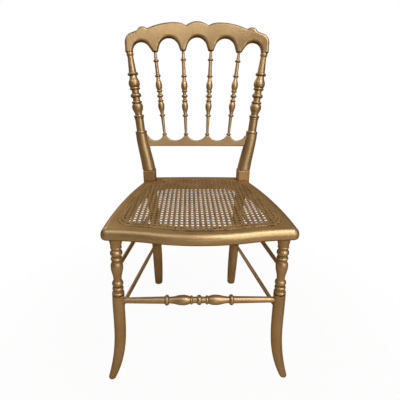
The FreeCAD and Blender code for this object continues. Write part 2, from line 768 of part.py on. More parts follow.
def front_leg():
    neck, gap, width = size.leg_neck_radius, size.leg_neck_length, size.leg_bead_width
    steps = [
        straight(size.leg_cup_length, size.leg_cup_radius, size.leg_cup_foot),
        bead(size.leg_lip_width, size.leg_cup_foot, size.leg_lip_radius),
        straight(gap, neck),
        bead(size.leg_globe_width, neck, size.leg_globe_radius),
        straight(gap * 0.7, neck),
        bead(width, neck, size.leg_bead_radius),
        straight(gap, neck + 1),
        swell_up(size.leg_vase_rise, neck + 1, size.leg_vase_radius),
        ogee(size.leg_vase_fall, size.leg_vase_radius, size.leg_vase_foot),
        straight(gap * 0.6, size.leg_vase_foot),
        bead(size.leg_torus_width, size.leg_vase_foot, size.leg_torus_radius),
        straight(gap * 0.6, neck + 0.6),
        bead(width, neck + 0.6, size.leg_torus_radius),
        straight(gap, neck + 1.2),
        bead(width, neck + 1.2, size.leg_plain_radius),
        straight(gap * 0.6, size.leg_plain_radius),
    ]
    lift = size.frame_thick / 4
    upper = turned("front_leg_turning", [straight(lift, size.leg_cup_radius)] + steps)
    upper.Placement = Placement(leg_top - leg_way * lift.value, along(leg_way))
    trim = box("leg_trim", leg_top - Vector(FAR, FAR, 0), leg_top + Vector(FAR, FAR, FAR))
    trimmed = cut("front_leg_upper", upper, [trim])
    depth = sum(step[1].value for step in steps)
    start = leg_top + leg_way * depth
    radii = [size.shin_radius, size.ankle_radius, size.front_foot_radius]
    heights = [size.kick_height.value, size.kick_height.value * 0.4, 0.0]
    sections = [ring_section("leg_ring_0", size.leg_plain_radius, start, along(leg_way))]
    knee = (start.z + heights[0]) / 2
    sections.append(ring_section("leg_ring_1", size.leg_plain_radius, front_leg_axis(knee),
                                 along(Vector(0, 0, -1))))
    for number, (radius, height) in enumerate(zip(radii, heights), start=2):
        sections.append(ring_section(f"leg_ring_{number}", radius, front_leg_axis(height),
                                     along(Vector(0, 0, -1))))
    sabre = round_foot("front_leg_lower", loft("front_leg_sabre", sections), size.front_foot_round)
    tenon = rod("leg_tenon", leg_top + leg_way * size.leg_tenon_radius.value, -leg_way,
                size.leg_tenon_length + size.leg_tenon_radius, size.leg_tenon_radius)
    return join("front_leg_blank", [trimmed, sabre, tenon])


# Back posts

def post_axis(height):
    """Middle of a post, across, at a height along the back: upright at the block, then leaning."""
    low, high = size.post_spread.value / 2, size.ring_spread.value / 2
    reach = size.ring_height.value
    lean = (size.crest_spread.value - size.ring_spread.value) / 2
    lean /= size.crest_seat.value - size.ring_height.value
    t = height / reach
    return low + (high - low) * (3 * t**2 - 2 * t**3) + lean * reach * (t**3 - t**2)


def rear_leg_axis(height):
    t = height / size.seat_height.value
    across = size.rear_foot_spread.value / 2 * (1 - t) + size.post_spread.value / 2 * t
    return Vector(across - size.rear_leg_tuck.value * math.sin(math.pi * t),
                  post_y.value + size.rear_foot_back.value * (1 - t) ** 2, height)


post_run = SimpleNamespace(across=(size.crest_spread - size.ring_spread) / 2,
                           up=size.crest_seat - size.ring_height)
post_length = root(post_run.across * post_run.across + post_run.up * post_run.up)
post_lean = back.Rotation.multVec(Vector(post_run.across.value, 0, post_run.up.value).normalize())
ring_base = back.multVec(Vector(size.ring_spread.value / 2, 0, size.ring_height.value))
post_top = ring_base + post_lean * post_length.value


def post_turning():
    pattern, half = swells("post")
    middle = (size.turning_height - size.ring_height) * post_length / post_run.up
    steps = [
        bead(size.base_ring_width, size.column_top_radius - 1, size.base_ring_radius),
        straight(middle - half - size.base_ring_width - size.sub_bead_width, size.upper_column_radius),
        bead(size.sub_bead_width, size.upper_column_radius, size.sub_bead_radius),
    ] + pattern + [
        straight(post_length - middle - half - size.collar_width, size.post_taper_radius,
                 size.post_neck_top),
        bead(size.collar_width, size.post_neck_top, size.collar_radius),
        straight(size.post_tenon_length, size.post_tenon_radius),
    ]
    body = turned("post_turning", steps)
    body.Placement = Placement(ring_base, along(post_lean))
    return body


def post_block():
    body = new_body("post_block")
    half = size.block_width / 2
    sketch = draw(body, "block_outline", "XY_Plane", (-half, -half), [
        ("line", (half, -half)), ("line", (half, half)), ("line", (-half, half)), ("line", (-half, -half))])
    height = size.block_above + size.frame_thick + size.block_below
    blank = pad(body, sketch, height)
    arrises = fillet(body, blank, size.block_round, upright)
    fillet(body, arrises, size.block_bevel, lambda edge: level(edge, height.value), "PartDesign::Chamfer")
    body.Placement.Base = Vector(size.post_spread.value / 2, post_y.value,
                                 (frame_bottom - size.block_below).value)
    return body


def back_post():
    low = (frame_bottom - size.block_below).value
    spread = [(size.rear_foot_radius, 0.0), (size.rear_knee_radius, low * 0.3),
              (size.rear_knee_radius, low * 0.6), (size.rear_leg_radius, low)]
    leg = loft("rear_leg", [ring_section(f"rear_leg_ring_{number}", radius, rear_leg_axis(height))
                            for number, (radius, height) in enumerate(spread)])
    leg = round_foot("rear_leg_footed", leg, size.foot_round)
    start = (size.block_above - size.block_bevel).value
    column = []
    for number, share in enumerate((0.0, 0.4, 0.75)):
        height = start + share * (size.ring_height.value - start)
        middle = back.multVec(Vector(post_axis(height), 0, height))
        radius = size.column_radius + share * (size.column_top_radius - size.column_radius)
        column.append(ring_section(f"column_ring_{number}", radius, middle, back.Rotation))
    column.append(ring_section("column_ring_top", size.column_top_radius, ring_base, along(post_lean)))
    return join("post_blank", [leg, post_block(), loft("post_column", column), post_turning()])


# Crest rail

def back_slab(name, half_span, bow, profile):
    """A bowed slab: a side profile swept about the bow's upright axis, in the back's own frame."""
    body = new_body(name)
    radius = bow_radius(half_span, bow)
    start, steps = profile(radius)
    sketch = draw(body, f"{name}_profile", "YZ_Plane", start, steps)
    sweep = body.newObject("PartDesign::Revolution", f"{name}_sweep")
    sweep.Profile = sketch
    sweep.ReferenceAxis = (sketch, ["V_Axis"])
    sweep.Angle = math.degrees(2.6 * math.asin(half_span.value / radius.value))
    sweep.Midplane = True
    doc.recompute()
    body.Placement = Placement(Vector(0, (bow - radius).value, 0), Rotation())
    return body


def round_arch(middle, top, radius):
    return SimpleNamespace(radius=radius, centre=(middle, top - radius), top=(middle, top))


def pendant_flank(tip, arch):
    """Where the straight side of a pendant, from a corner of its tip, touches the round of its arch."""
    x, z = tip[0] - arch.centre[0], tip[1] - arch.centre[1]
    square = x * x + z * z
    share = arch.radius * arch.radius / square
    turn = arch.radius * root(square - arch.radius * arch.radius) / square
    side = 1 if x.value > 0 else -1
    return (arch.centre[0] + x * share - z * turn * side, arch.centre[1] + z * share + x * turn * side)


def crest_points():
    """Corners of the right half of the crest's outline, across and up in the back's frame."""
    edge, top = size.crest_half_width, size.crest_seat
    lean, up = post_run.across / post_length, post_run.up / post_length
    half_horn, half_tip = size.horn_width / 2, size.pendant_width / 2
    seat_x = size.crest_spread / 2
    p = SimpleNamespace()
    p.horn_outer = (edge, top - (edge - seat_x) * lean / up)
    p.horn_inner = (seat_x - half_horn * up, top + half_horn * lean)
    p.shoulder = (edge, top + size.shoulder_rise)
    p.turned_in = (edge - size.shoulder_radius * (1 - cosine(size.shoulder_turn)),
                   p.shoulder[1] + size.shoulder_radius * sine(size.shoulder_turn))
    bump_x = edge - size.bump_inset
    p.bump_outer = (bump_x, p.turned_in[1] + (p.turned_in[0] - bump_x)
                    * cosine(size.shoulder_turn) / sine(size.shoulder_turn))
    p.bump_inner = (bump_x - size.bump_width, p.bump_outer[1] + size.bump_step)
    p.bump_top = (bump_x - size.bump_width / 2, p.bump_inner[1] + size.bump_rise)
    p.lobe = (size.lobe_offset, p.bump_inner[1] + size.lobe_rise)
    p.notch = (size.notch_offset, p.lobe[1] - size.notch_drop)
    p.crown = (ZERO, p.notch[1] + size.crown_rise)
    outer_x, inner_x = 1.5 * size.spindle_top_pitch, 0.5 * size.spindle_top_pitch
    outer_z, inner_z = top + size.outer_pendant_rise, top + size.inner_pendant_rise
    p.tips = [(outer_x + half_tip, outer_z), (outer_x - half_tip, outer_z),
              (inner_x + half_tip, inner_z), (inner_x - half_tip, inner_z)]
    radius = size.arch_fullness * (p.horn_inner[0] - p.tips[0][0]) / 2
    above = outer_z + size.outer_arch_rise - p.horn_inner[1] - radius
    p.outer_arch = round_arch(p.horn_inner[0] - root(radius * radius - above * above),
                              outer_z + size.outer_arch_rise, radius)
    radius = size.arch_fullness * p.tips[3][0]
    p.side_arch = round_arch(size.spindle_top_pitch, outer_z + size.side_arch_rise, radius)
    p.middle_arch = round_arch(ZERO, inner_z + size.middle_arch_rise, radius)
    arches = (p.outer_arch, p.side_arch, p.side_arch, p.middle_arch)
    p.flanks = [pendant_flank(tip, arch) for tip, arch in zip(p.tips, arches)]
    return p


def other(place):
    return (-place[0], place[1])


crest = crest_points()


def crest_outline(body):
    """From a notch over the right half to the middle arch, then the left half mirrored."""
    p = crest
    lobe_outer = quarter(p.bump_inner[0] - p.lobe[0], size.lobe_rise)
    lobe_inner = quarter(p.lobe[0] - p.notch[0], size.notch_drop)
    right = [
        ("arc", p.lobe, lobe_inner, -1), ("arc", p.bump_inner, lobe_outer, -1),
        ("via", p.bump_outer, p.bump_top), ("line", p.turned_in),
        ("arc", p.shoulder, size.shoulder_radius, -1), ("line", p.horn_outer), ("line", p.horn_inner),
        ("via", p.flanks[0], p.outer_arch.top), ("line", p.tips[0]), ("line", p.tips[1]),
        ("line", p.flanks[1]), ("via", p.flanks[2], p.side_arch.top), ("line", p.tips[2]),
        ("line", p.tips[3]), ("line", p.flanks[3]),
    ]
    middle = [("via", other(p.flanks[3]), p.middle_arch.top)]
    left = [
        ("line", other(p.tips[3])), ("line", other(p.tips[2])), ("line", other(p.flanks[2])),
        ("via", other(p.flanks[1]), other(p.side_arch.top)), ("line", other(p.tips[1])),
        ("line", other(p.tips[0])), ("line", other(p.flanks[0])),
        ("via", other(p.horn_inner), other(p.outer_arch.top)),
        ("line", other(p.horn_outer)), ("line", other(p.shoulder)),
        ("arc", other(p.turned_in), size.shoulder_radius, -1), ("line", other(p.bump_outer)),
        ("via", other(p.bump_inner), other(p.bump_top)), ("arc", other(p.lobe), lobe_outer, -1),
        ("arc", other(p.notch), lobe_inner, -1), ("via", p.notch, p.crown),
    ]
    return draw(body, "crest_outline", "XZ_Plane", p.notch, right + middle + left)


def crest_profile(radius):
    """Side profile of the crest: both faces swell between its foot and its top."""
    base = size.crest_seat - size.crest_thick / 2
    above = crest.crown[1] + size.crest_round
    fullest = size.crest_seat + size.crest_full_rise
    full, foot, top = size.crest_thick / 2, size.crest_foot_thick / 2, size.crest_top_thick / 2
    start = (radius - foot, base)
    return start, [
        ("line", (radius + foot, base)),
        ("via", (radius + top, above), (radius + full, fullest)),
        ("line", (radius - top, above)),
        ("via", start, (radius - full, fullest)),
    ]


def back_edge(edge):
    """An edge along the depth of the back."""
    return edge.BoundBox.YLength > 1 and edge.BoundBox.XLength < 1e-3 and edge.BoundBox.ZLength < 1e-3


def crest_blank():
    body = new_body("crest_blank")
    hollows = [crest.notch, crest.bump_inner, crest.bump_outer]
    blank = pad(body, crest_outline(body), 8 * size.crest_thick, both_ways=True)

    def in_hollow(edge):
        middle = edge.CenterOfMass
        return back_edge(edge) and any(
            abs(abs(middle.x) - x.value) < 0.01 and abs(middle.z - z.value) < 0.01 for x, z in hollows)

    eased = fillet(body, blank, size.notch_round, in_hollow)
    slab = back_slab("crest_slab", size.crest_spread / 2, size.crest_bow, crest_profile)
    bowed = body.newObject("PartDesign::Boolean", "crest_bowed")
    bowed.setObjects([slab])
    bowed.Type = "Common"
    doc.recompute()

    def arris(edge):
        """The outline's edges on the front and rear faces, without the flat seats."""
        reach = edge.BoundBox
        on_face = reach.YLength < 0.9 * size.crest_foot_thick.value
        seat = reach.ZLength < size.horn_width.value / 4 and reach.ZMax < crest.outer_arch.top[1].value
        return on_face and not seat

    fillet(body, bowed, size.crest_round, arris)
    body.Placement = back
    return body


def arch_mouth(name, arch):
    """A flared tool that rounds the front edge of an arch, most at its top."""
    radius = arch.radius - 1.25 * size.mouth_lift
    face = size.crest_thick / 2
    base = face - size.arch_round
    body = new_body(name)
    turn_solid(body, draw(body, f"{name}_profile", "XZ_Plane", (ZERO, base), [
        ("line", (radius, base)), ("arc", (radius + size.arch_round, face), size.arch_round, -1),
        ("line", (radius + size.arch_round, face + size.crest_bow)),
        ("line", (ZERO, face + size.crest_bow)), ("line", (ZERO, base))]))
    half_span = size.crest_spread / 2
    across, up = arch.centre
    middle = Vector(across.value, bow_at(half_span, size.crest_bow, across).value,
                    (up + size.mouth_lift).value)
    turn = math.degrees(math.asin(across.value / bow_radius(half_span, size.crest_bow).value))
    forwards = Rotation(Vector(0, 0, 1), -turn).multiply(Rotation(Vector(1, 0, 0), 90))
    body.Placement = back.multiply(Placement(middle, forwards))
    return body


def arch_mouths():
    sides = [arch_mouth("outer_mouth", crest.outer_arch), arch_mouth("side_mouth", crest.side_arch)]
    return [arch_mouth("middle_mouth", crest.middle_arch)] + list(both_sides("mouths", sides))


# Lower back rail

rail_peak = size.rail_bottom + size.rail_waist + size.scallop_depth


def rail_blank(name, grow, rounded):
    """Scalloped rail in the back's frame; grown a little and left square, it cuts its own housings."""
    half_span = size.ring_spread / 2
    thick = size.rail_thick + 2 * grow
    body = new_body(name)
    pitch = size.spindle_low_pitch
    end = 2.5 * pitch + grow
    half_peak = size.peak_width / 2
    bottom = size.rail_bottom - grow
    dip = size.rail_bottom + size.rail_waist + grow
    peak = rail_peak + grow
    last = 1.5 * pitch + size.end_scallop
    peaks = [last, 1.5 * pitch, 0.5 * pitch, -0.5 * pitch, -1.5 * pitch, -last]
    steps = [("line", (end, bottom)), ("line", (end, peak))]
    for here, there in zip(peaks, peaks[1:]):
        steps.append(("line", (here - half_peak, peak)))
        steps.append(("via", (there + half_peak, peak), ((here + there) / 2, dip)))
    steps += [("line", (-end, peak)), ("line", (-end, bottom))]
    sketch = draw(body, f"{name}_outline", "XZ_Plane", (-end, bottom), steps)
    pad(body, sketch, 8 * size.rail_thick, both_ways=True)

    def profile(radius):
        low, high = bottom - size.rail_thick, peak + size.rail_thick
        near, far = radius - thick / 2, radius + thick / 2
        return (near, low), [("line", (far, low)), ("line", (far, high)), ("line", (near, high)),
                             ("line", (near, low))]

    slab = back_slab(f"{name}_slab", half_span, size.rail_bow, profile)
    bowed = body.newObject("PartDesign::Boolean", f"{name}_bowed")
    bowed.setObjects([slab])
    bowed.Type = "Common"
    doc.recompute()

    def arris(edge):
        middle = edge.CenterOfMass
        return edge.BoundBox.YLength < size.rail_thick.value / 2 and abs(middle.x) < end.value - 0.01

    if rounded:
        fillet(body, bowed, size.rail_round, arris)
    body.Placement = back
    return body


# Spindles

def spindle_ends(number):
    """Foot and tip of a spindle in the back's frame; number is 0.5 or 1.5 pitches from the middle."""
    low_x, top_x = number * size.spindle_low_pitch, number * size.spindle_top_pitch
    top = crest.tips[2][1] if number < 1 else crest.tips[0][1]
    foot = (low_x, bow_at(size.ring_spread / 2, size.rail_bow, low_x),
            rail_peak + size.spindle_seat_gap)
    tip = (top_x, bow_at(size.crest_spread / 2, size.crest_bow, top_x), top)
    return foot, tip


def point(sizes):
    return Vector(*(item.value for item in sizes))


def spindle(label, number):
    foot, tip = spindle_ends(number)
    across, deep, up = (high - low for high, low in zip(tip, foot))
    length = root(across * across + deep * deep + up * up)
    pattern, half = swells("spindle")
    middle = (size.turning_height - foot[2]) * length / up
    width = size.spindle_outer_width
    steps = [
        straight(size.spindle_tenon_length, size.spindle_tenon_radius),
        bead(size.spindle_foot_width, size.spindle_foot_seat, size.spindle_foot_radius),
        straight(middle - half - size.spindle_foot_width, size.spindle_foot_neck, size.spindle_neck_radius),
    ] + pattern + [
        straight(length - middle - half - size.spindle_top_ring - width / 2, size.spindle_neck_radius + 0.5,
                 size.spindle_neck_radius - 0.2),
        ring(width, size.spindle_top_ring_radius),
        straight(size.spindle_top_ring - width / 2, size.spindle_neck_radius - 0.4, size.spindle_tip_radius),
        straight(size.spindle_tip_length, size.spindle_tip_radius),
    ]
    body = turned(f"body_{label}", steps)
    way = (point(tip) - point(foot)).normalize()
    start = point(foot) - way * size.spindle_tenon_length.value
    body.Placement = back.multiply(Placement(start, along(way)))
    return keep(label, body)


def spindle_bores(end):
    """Bores for all spindles in the crest (end 1) or in the lower rail (end 0)."""
    tools = []
    for number in (0.5, 1.5):
        ends = [point(item) for item in spindle_ends(number)]
        way = (ends[1] - ends[0]).normalize()
        depth = size.spindle_tip_length if end else size.spindle_tenon_length
        radius = size.spindle_tip_radius if end else size.spindle_tenon_radius
        start = ends[end] - way * (size.spindle_tip_radius.value if end else -size.spindle_foot_seat.value)
        overrun = size.spindle_tip_radius if end else size.spindle_foot_seat
        tool = rod(f"spindle_bore_{end}_{int(number)}", Vector(), Vector(0, 0, 1),
                   depth + overrun + size.glue_gap, radius + size.glue_gap)
        tool.Placement = back.multiply(Placement(start, along(way if end else way * -1)))
        tools.append(tool)
    return list(both_sides(f"spindle_bores_{end}", tools))


# Stretchers

def front_stretcher():
    """The turned stretcher, whose plain ends are let into the legs; returns the right leg's socket."""
    axis = leg_x + (frame_bottom - size.stretcher_height) * sine(size.leg_splay) / cosine(size.leg_splay)
    face = axis - size.leg_plain_radius - size.stretcher_lead
    pattern, half = swells("stretcher")
    arm = [straight(size.stretcher_lead + size.stretcher_socket, size.stretcher_end_radius),
           straight(face - half, size.stretcher_end_radius, size.stretcher_arm_radius)]
    body = turned("body_front_stretcher", arm + pattern + reversed_steps(arm))
    reach = face + size.stretcher_lead + size.stretcher_socket
    body.Placement = Placement(Vector(-reach.value, leg_y.value, size.stretcher_height.value),
                               along(Vector(1, 0, 0)))
    keep("front_stretcher", body)
    end = Vector((reach + size.glue_gap).value, leg_y.value, size.stretcher_height.value)
    return rod("stretcher_bore", end, Vector(-1, 0, 0), 3 * size.stretcher_socket,
               size.stretcher_end_radius + size.glue_gap)


def side_rod(label, front_height, rear_height):
    """A plain round stretcher whose ends are let into the legs; returns its bores."""
    front, rear = front_leg_axis(front_height.value), rear_leg_axis(rear_height.value)
    way = (rear - front).normalize()
    start = front + way * (size.leg_plain_radius.value - size.side_rod_tenon.value)
    finish = rear - way * (size.rear_knee_radius.value - size.side_rod_tenon.value)
    length = Size.of((finish - start).Length)
    steps = [straight(size.side_rod_tenon, size.side_rod_end_radius),
             bead(length - 2 * size.side_rod_tenon, size.side_rod_end_radius, size.side_rod_radius),
             straight(size.side_rod_tenon, size.side_rod_end_radius)]
    body = turned(f"body_{label}", steps)
    body.Placement = Placement(start, along(way))
    keep(f"{label}_right", body)
    mirrored(f"{label}_left", body)
    depth, radius = 3 * size.side_rod_tenon, size.side_rod_end_radius + size.glue_gap
    gap = size.glue_gap.value
    return (rod(f"{label}_front_bore", start - way * gap, way, depth, radius),
            rod(f"{label}_rear_bore", finish + way * gap, way * -1, depth, radius))


def rear_rod():
    height = size.rear_rod_height.value
    right = rear_leg_axis(height)
    half = Size.of(right.x - size.rear_knee_radius.value + size.side_rod_tenon.value)
    steps = [straight(size.side_rod_tenon, size.side_rod_end_radius),
             bead(2 * half - 2 * size.side_rod_tenon, size.side_rod_end_radius, size.side_rod_radius),
             straight(size.side_rod_tenon, size.side_rod_end_radius)]
    body = turned("body_rear_stretcher", steps)
    body.Placement = Placement(Vector(-half.value, right.y, height), along(Vector(1, 0, 0)))
    keep("rear_stretcher", body)
    return rod("rear_rod_bore", Vector(half.value + size.glue_gap.value, right.y, height), Vector(-1, 0, 0),
               3 * size.side_rod_tenon, size.side_rod_end_radius + size.glue_gap)


# The chair

seat_frame()
cane()

upper_bores = side_rod("side_stretcher_upper", size.upper_rod_front, size.upper_rod_rear)
lower_bores = side_rod("side_stretcher_lower", size.lower_rod_front, size.lower_rod_rear)
stretcher_bore = front_stretcher()
keep("front_leg_right", cut("front_leg", front_leg(), [stretcher_bore, upper_bores[0], lower_bores[0]]))
mirrored("front_leg_left", parts["front_leg_right"])

rail = rail_blank("rail_blank", ZERO, rounded=True)
housing = rail_blank("rail_housing_cut", size.glue_gap, rounded=False)
post_tools = [upper_bores[1], lower_bores[1], rear_rod(), housing, join("post_dowel_bores", dowel_bores)]
keep("back_post_right", cut("back_post", back_post(), post_tools))
mirrored("back_post_left", parts["back_post_right"])

keep("lower_back_rail", cut("lower_rail", rail, spindle_bores(0)))
post_bore = rod("post_bore", post_top - post_lean * size.collar_width.value, post_lean,
                size.collar_width + size.post_tenon_length + size.glue_gap,
                size.post_tenon_radius + size.glue_gap)
crest_bores = spindle_bores(1) + list(both_sides("post_bores", [post_bore]))
keep("crest_rail", cut("crest", crest_blank(), crest_bores + arch_mouths()))

for label, twin, number in (("spindle_3", "spindle_2", 0.5), ("spindle_4", "spindle_1", 1.5)):
    mirrored(twin, spindle(label, number))

doc.recompute()

# Checks, centring and export

for item in doc.Objects:
    if any(state in ("Invalid", "Error") for state in item.State):
        raise RuntimeError(f"{item.Label} failed: {item.State}")
for label, piece in parts.items():
    if piece.Shape.isNull() or not piece.Shape.isValid():
        raise RuntimeError(f"{label} has no valid shape")

whole = FreeCAD.BoundBox()
for piece in parts.values():
    whole.add(piece.Shape.optimalBoundingBox(False))
centring = Placement(Vector(0, -whole.Center.y, 0), Rotation())
os.makedirs("parts", exist_ok=True)
for label, piece in parts.items():
    piece.Placement = centring.multiply(piece.Placement)
    piece.Shape.exportStep(f"parts/{label}.step")
    print(label, len(piece.Shape.Solids), round(piece.Shape.Volume))
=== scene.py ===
import math
import random

import bmesh
import bpy
from mathutils import Matrix, Vector
from mathutils.bvhtree import BVHTree


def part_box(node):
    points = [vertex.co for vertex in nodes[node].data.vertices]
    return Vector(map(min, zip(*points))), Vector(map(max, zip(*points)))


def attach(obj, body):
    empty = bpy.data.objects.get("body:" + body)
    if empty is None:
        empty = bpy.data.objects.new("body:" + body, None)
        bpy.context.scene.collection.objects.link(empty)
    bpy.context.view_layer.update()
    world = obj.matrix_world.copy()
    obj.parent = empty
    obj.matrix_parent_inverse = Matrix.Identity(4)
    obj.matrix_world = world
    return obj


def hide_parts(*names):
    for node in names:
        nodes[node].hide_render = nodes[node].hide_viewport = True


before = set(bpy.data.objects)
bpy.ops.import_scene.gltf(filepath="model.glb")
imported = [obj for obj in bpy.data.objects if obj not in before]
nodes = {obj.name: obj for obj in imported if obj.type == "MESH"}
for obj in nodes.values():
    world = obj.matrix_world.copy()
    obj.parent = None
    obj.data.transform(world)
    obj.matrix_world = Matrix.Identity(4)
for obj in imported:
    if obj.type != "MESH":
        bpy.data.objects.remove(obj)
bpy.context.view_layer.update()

# A gold-painted side chair with a turned back and a caned seat, in metres. The chair faces -Y.


# Camera at the photograph's place, fitted on the chair in a picture of 400 by 400

PICTURE = 400
FOCAL_PIXELS = 310.0
PRINCIPAL = (193.3, 209.0)
CAMERA_PLACE = Vector((-0.0259, -0.7927, 0.7312))
CAMERA_YAW, CAMERA_PITCH, CAMERA_ROLL = (math.radians(turn) for turn in (1.01, 22.61, 0.33))
SENSOR = 36.0
NEAREST = 0.01


def add_camera():
    lens = bpy.data.cameras.new("camera")
    lens.sensor_width = SENSOR
    lens.lens = FOCAL_PIXELS / PICTURE * SENSOR
    lens.shift_x = (PICTURE / 2 - PRINCIPAL[0]) / PICTURE
    lens.shift_y = (PRINCIPAL[1] - PICTURE / 2) / PICTURE
    lens.clip_start = NEAREST
    camera = bpy.data.objects.new("camera", lens)
    bpy.context.scene.collection.objects.link(camera)
    turn = Matrix.Rotation(-CAMERA_YAW, 4, "Z") @ Matrix.Rotation(math.pi / 2 - CAMERA_PITCH, 4, "X")
    roll = Matrix.Rotation(CAMERA_ROLL, 4, "Z")
    camera.matrix_world = Matrix.Translation(CAMERA_PLACE) @ turn @ roll
    bpy.context.scene.camera = camera


# Shader graphs

# Sockets of a Mix node for colours, by number since their names repeat
MIX_SHARE, MIX_FIRST, MIX_SECOND, MIX_RESULT = 0, 6, 7, 2
HOLLOW_SAMPLES = 8
BUMP_DEPTH = 0.0003


class Wire:
    """A socket of a node tree. Arithmetic on wires adds Math nodes."""

    def __init__(self, graph, socket):
        self.graph = graph
        self.socket = socket

    def math(self, operation, *values):
        return self.graph.add("ShaderNodeMath", {"operation": operation}, values)

    def __add__(self, other):
        return self.math("ADD", self, other)

    def __sub__(self, other):
        return self.math("SUBTRACT", self, other)

    def __rsub__(self, other):
        return self.math("SUBTRACT", other, self)

    def __mul__(self, other):
        return self.math("MULTIPLY", self, other)

    def __abs__(self):
        return self.math("ABSOLUTE", self)

    __radd__ = __add__
    __rmul__ = __mul__

    def clamp(self):
        return self.graph.add("ShaderNodeClamp", {}, {"Value": self})

    def step(self, low, high):
        """0 below low, 1 above high and smooth between; high may be the smaller one."""
        return self.graph.add("ShaderNodeMapRange", {"interpolation_type": "SMOOTHSTEP"},
                              {"Value": self, "From Min": low, "From Max": high})


class Graph:
    """The node tree of a material or of the world."""

    def __init__(self, owner):
        owner.use_nodes = True
        self.tree = owner.node_tree
        self.tree.nodes.clear()

    def add(self, kind, settings=None, inputs=None, output=0):
        """A node of that kind: its settings, then its sockets' values or wires. Gives one output."""
        node = self.tree.nodes.new(kind)
        for name, value in (settings or {}).items():
            setattr(node, name, value)
        pairs = inputs.items() if isinstance(inputs, dict) else enumerate(inputs or ())
        for name, value in pairs:
            socket = node.inputs[name]
            if isinstance(value, Wire):
                self.tree.links.new(value.socket, socket)
            else:
                socket.default_value = value
        return Wire(self, node.outputs[output]) if node.outputs else None

    def place(self):
        return self.add("ShaderNodeTexCoord", output="Object")

    def part(self, vector, axis):
        return self.add("ShaderNodeSeparateXYZ", {}, {"Vector": vector}, output=axis)

    def scaled(self, vector, scale):
        return self.add("ShaderNodeMapping", {}, {"Vector": vector, "Scale": scale})

    def mix(self, share, first, second):
        """Two colours mixed."""
        inputs = {MIX_SHARE: share, MIX_FIRST: first, MIX_SECOND: second}
        return self.add("ShaderNodeMix", {"data_type": "RGBA"}, inputs, output=MIX_RESULT)

    def noise(self, place, scale, detail):
        return self.add("ShaderNodeTexNoise", {}, {"Vector": place, "Scale": scale, "Detail": detail})

    def hollow(self, reach):
        """How open the place is: 1 in the open and lower in hollows."""
        return self.add("ShaderNodeAmbientOcclusion", {"samples": HOLLOW_SAMPLES}, {"Distance": reach},
                        output="AO")

    def bump(self, strength, height):
        return self.add("ShaderNodeBump", {},
                        {"Strength": strength, "Distance": BUMP_DEPTH, "Height": height})

    def surface(self, inputs):
        shader = self.add("ShaderNodeBsdfPrincipled", {}, inputs)
        self.add("ShaderNodeOutputMaterial", {}, {"Surface": shader})


def colour(*parts):
    """A colour of red, green and blue from 11 to 255 in a picture, as linear light."""
    return tuple(((part / 255 + 0.055) / 1.055) ** 2.4 for part in parts) + (1.0,)


# Finishes

GOLD, BROWN_GOLD = colour(214, 181, 134), colour(172, 136, 91)
FLAKE = colour(246, 220, 166)
# Dark brown for joints and grime in grooves, and for painted shade in hollows, on undersides and under
# the seat
GROOVE_AND_SHADE = colour(64, 43, 20)
CHIP = colour(226, 214, 186)
EDGE_TINT = colour(146, 124, 96)
CANE_DULL, CANE_BRIGHT = colour(140, 108, 71), colour(212, 174, 121)
STITCH_DULL, STITCH_BRIGHT = colour(132, 100, 62), colour(214, 174, 117)
WOOD_DARK, WOOD_PALE = colour(186, 150, 106), colour(214, 184, 140)

# Marks to a metre
PATCHES, FLAKES, CHIPS, CHIPPED_AREAS = 14.0, 1500.0, 260.0, 22.0
CANE_PATCHES, CANE_FIBRES = 28.0, 900.0
FINE, COARSE = 420, 26
WOOD_GRAIN = (300, 40, 300)

# Where a mark or a painted shade starts and is full: in noise, in how open the place is and in how it
# faces
FLAKE_RANGE, CHIP_RANGE, CHIPPED_RANGE = (0.35, 0.75), (0.735, 0.75), (0.5, 0.58)
GILT_HOLLOW_RANGE, CANE_HOLLOW_RANGE = (0.8, 0.3), (0.8, 0.25)
UNDERSIDE_SHADE_RANGE, FORWARD_RANGE = (-0.15, -0.75), (-0.1, -0.6)

# How much of a mark's or a painted shade's colour shows
FLAKE_SHARE, UNDERSIDE_SHADE_SHARE, SEAT_SHADE_SHARE, SEAM_SHARE = 0.08, 0.6, 0.85, 0.6
GILT_GRIME_AND_SHADE_SHARE, CANE_SHADE_SHARE = 0.85, 0.5
BROAD_SHARE, FINE_SHARE, TONE_DROP = 0.9, 0.5, 0.2

# Lengths and heights
GILT_HOLLOW, CANE_HOLLOW = 0.010, 0.004
SEAM_EDGE, SEAM_CORE = 0.0006, 0.0002
# Heights where the painted shade under the seat starts, is full and fades out at its top
SEAT_SHADE_START, SEAT_SHADE_FULL, SEAT_SHADE_FADE = 0.17, 0.27, 0.002

# Relief, roughness and metal
FLAKE_RELIEF, BRUSH_RELIEF, SEAM_RELIEF = 0.06, 0.2, 2
GILT_BUMP, CANE_BUMP = 0.12, 0.3
GILT_ROUGH, PATCH_ROUGH, BRUSH_ROUGH, CHIP_ROUGH = 0.36, 0.1, 0.06, 0.25
CANE_ROUGH, FIBRE_ROUGH, WOOD_ROUGH = 0.42, 0.15, 0.6
GILT_METAL, CANE_METAL = 0.9, 0.6


def worn(graph, broad, fine, dull, bright):
    """Two tones mixed by broad and fine marks."""
    return graph.mix((broad * BROAD_SHARE + fine * FINE_SHARE - TONE_DROP).clamp(), dull, bright)


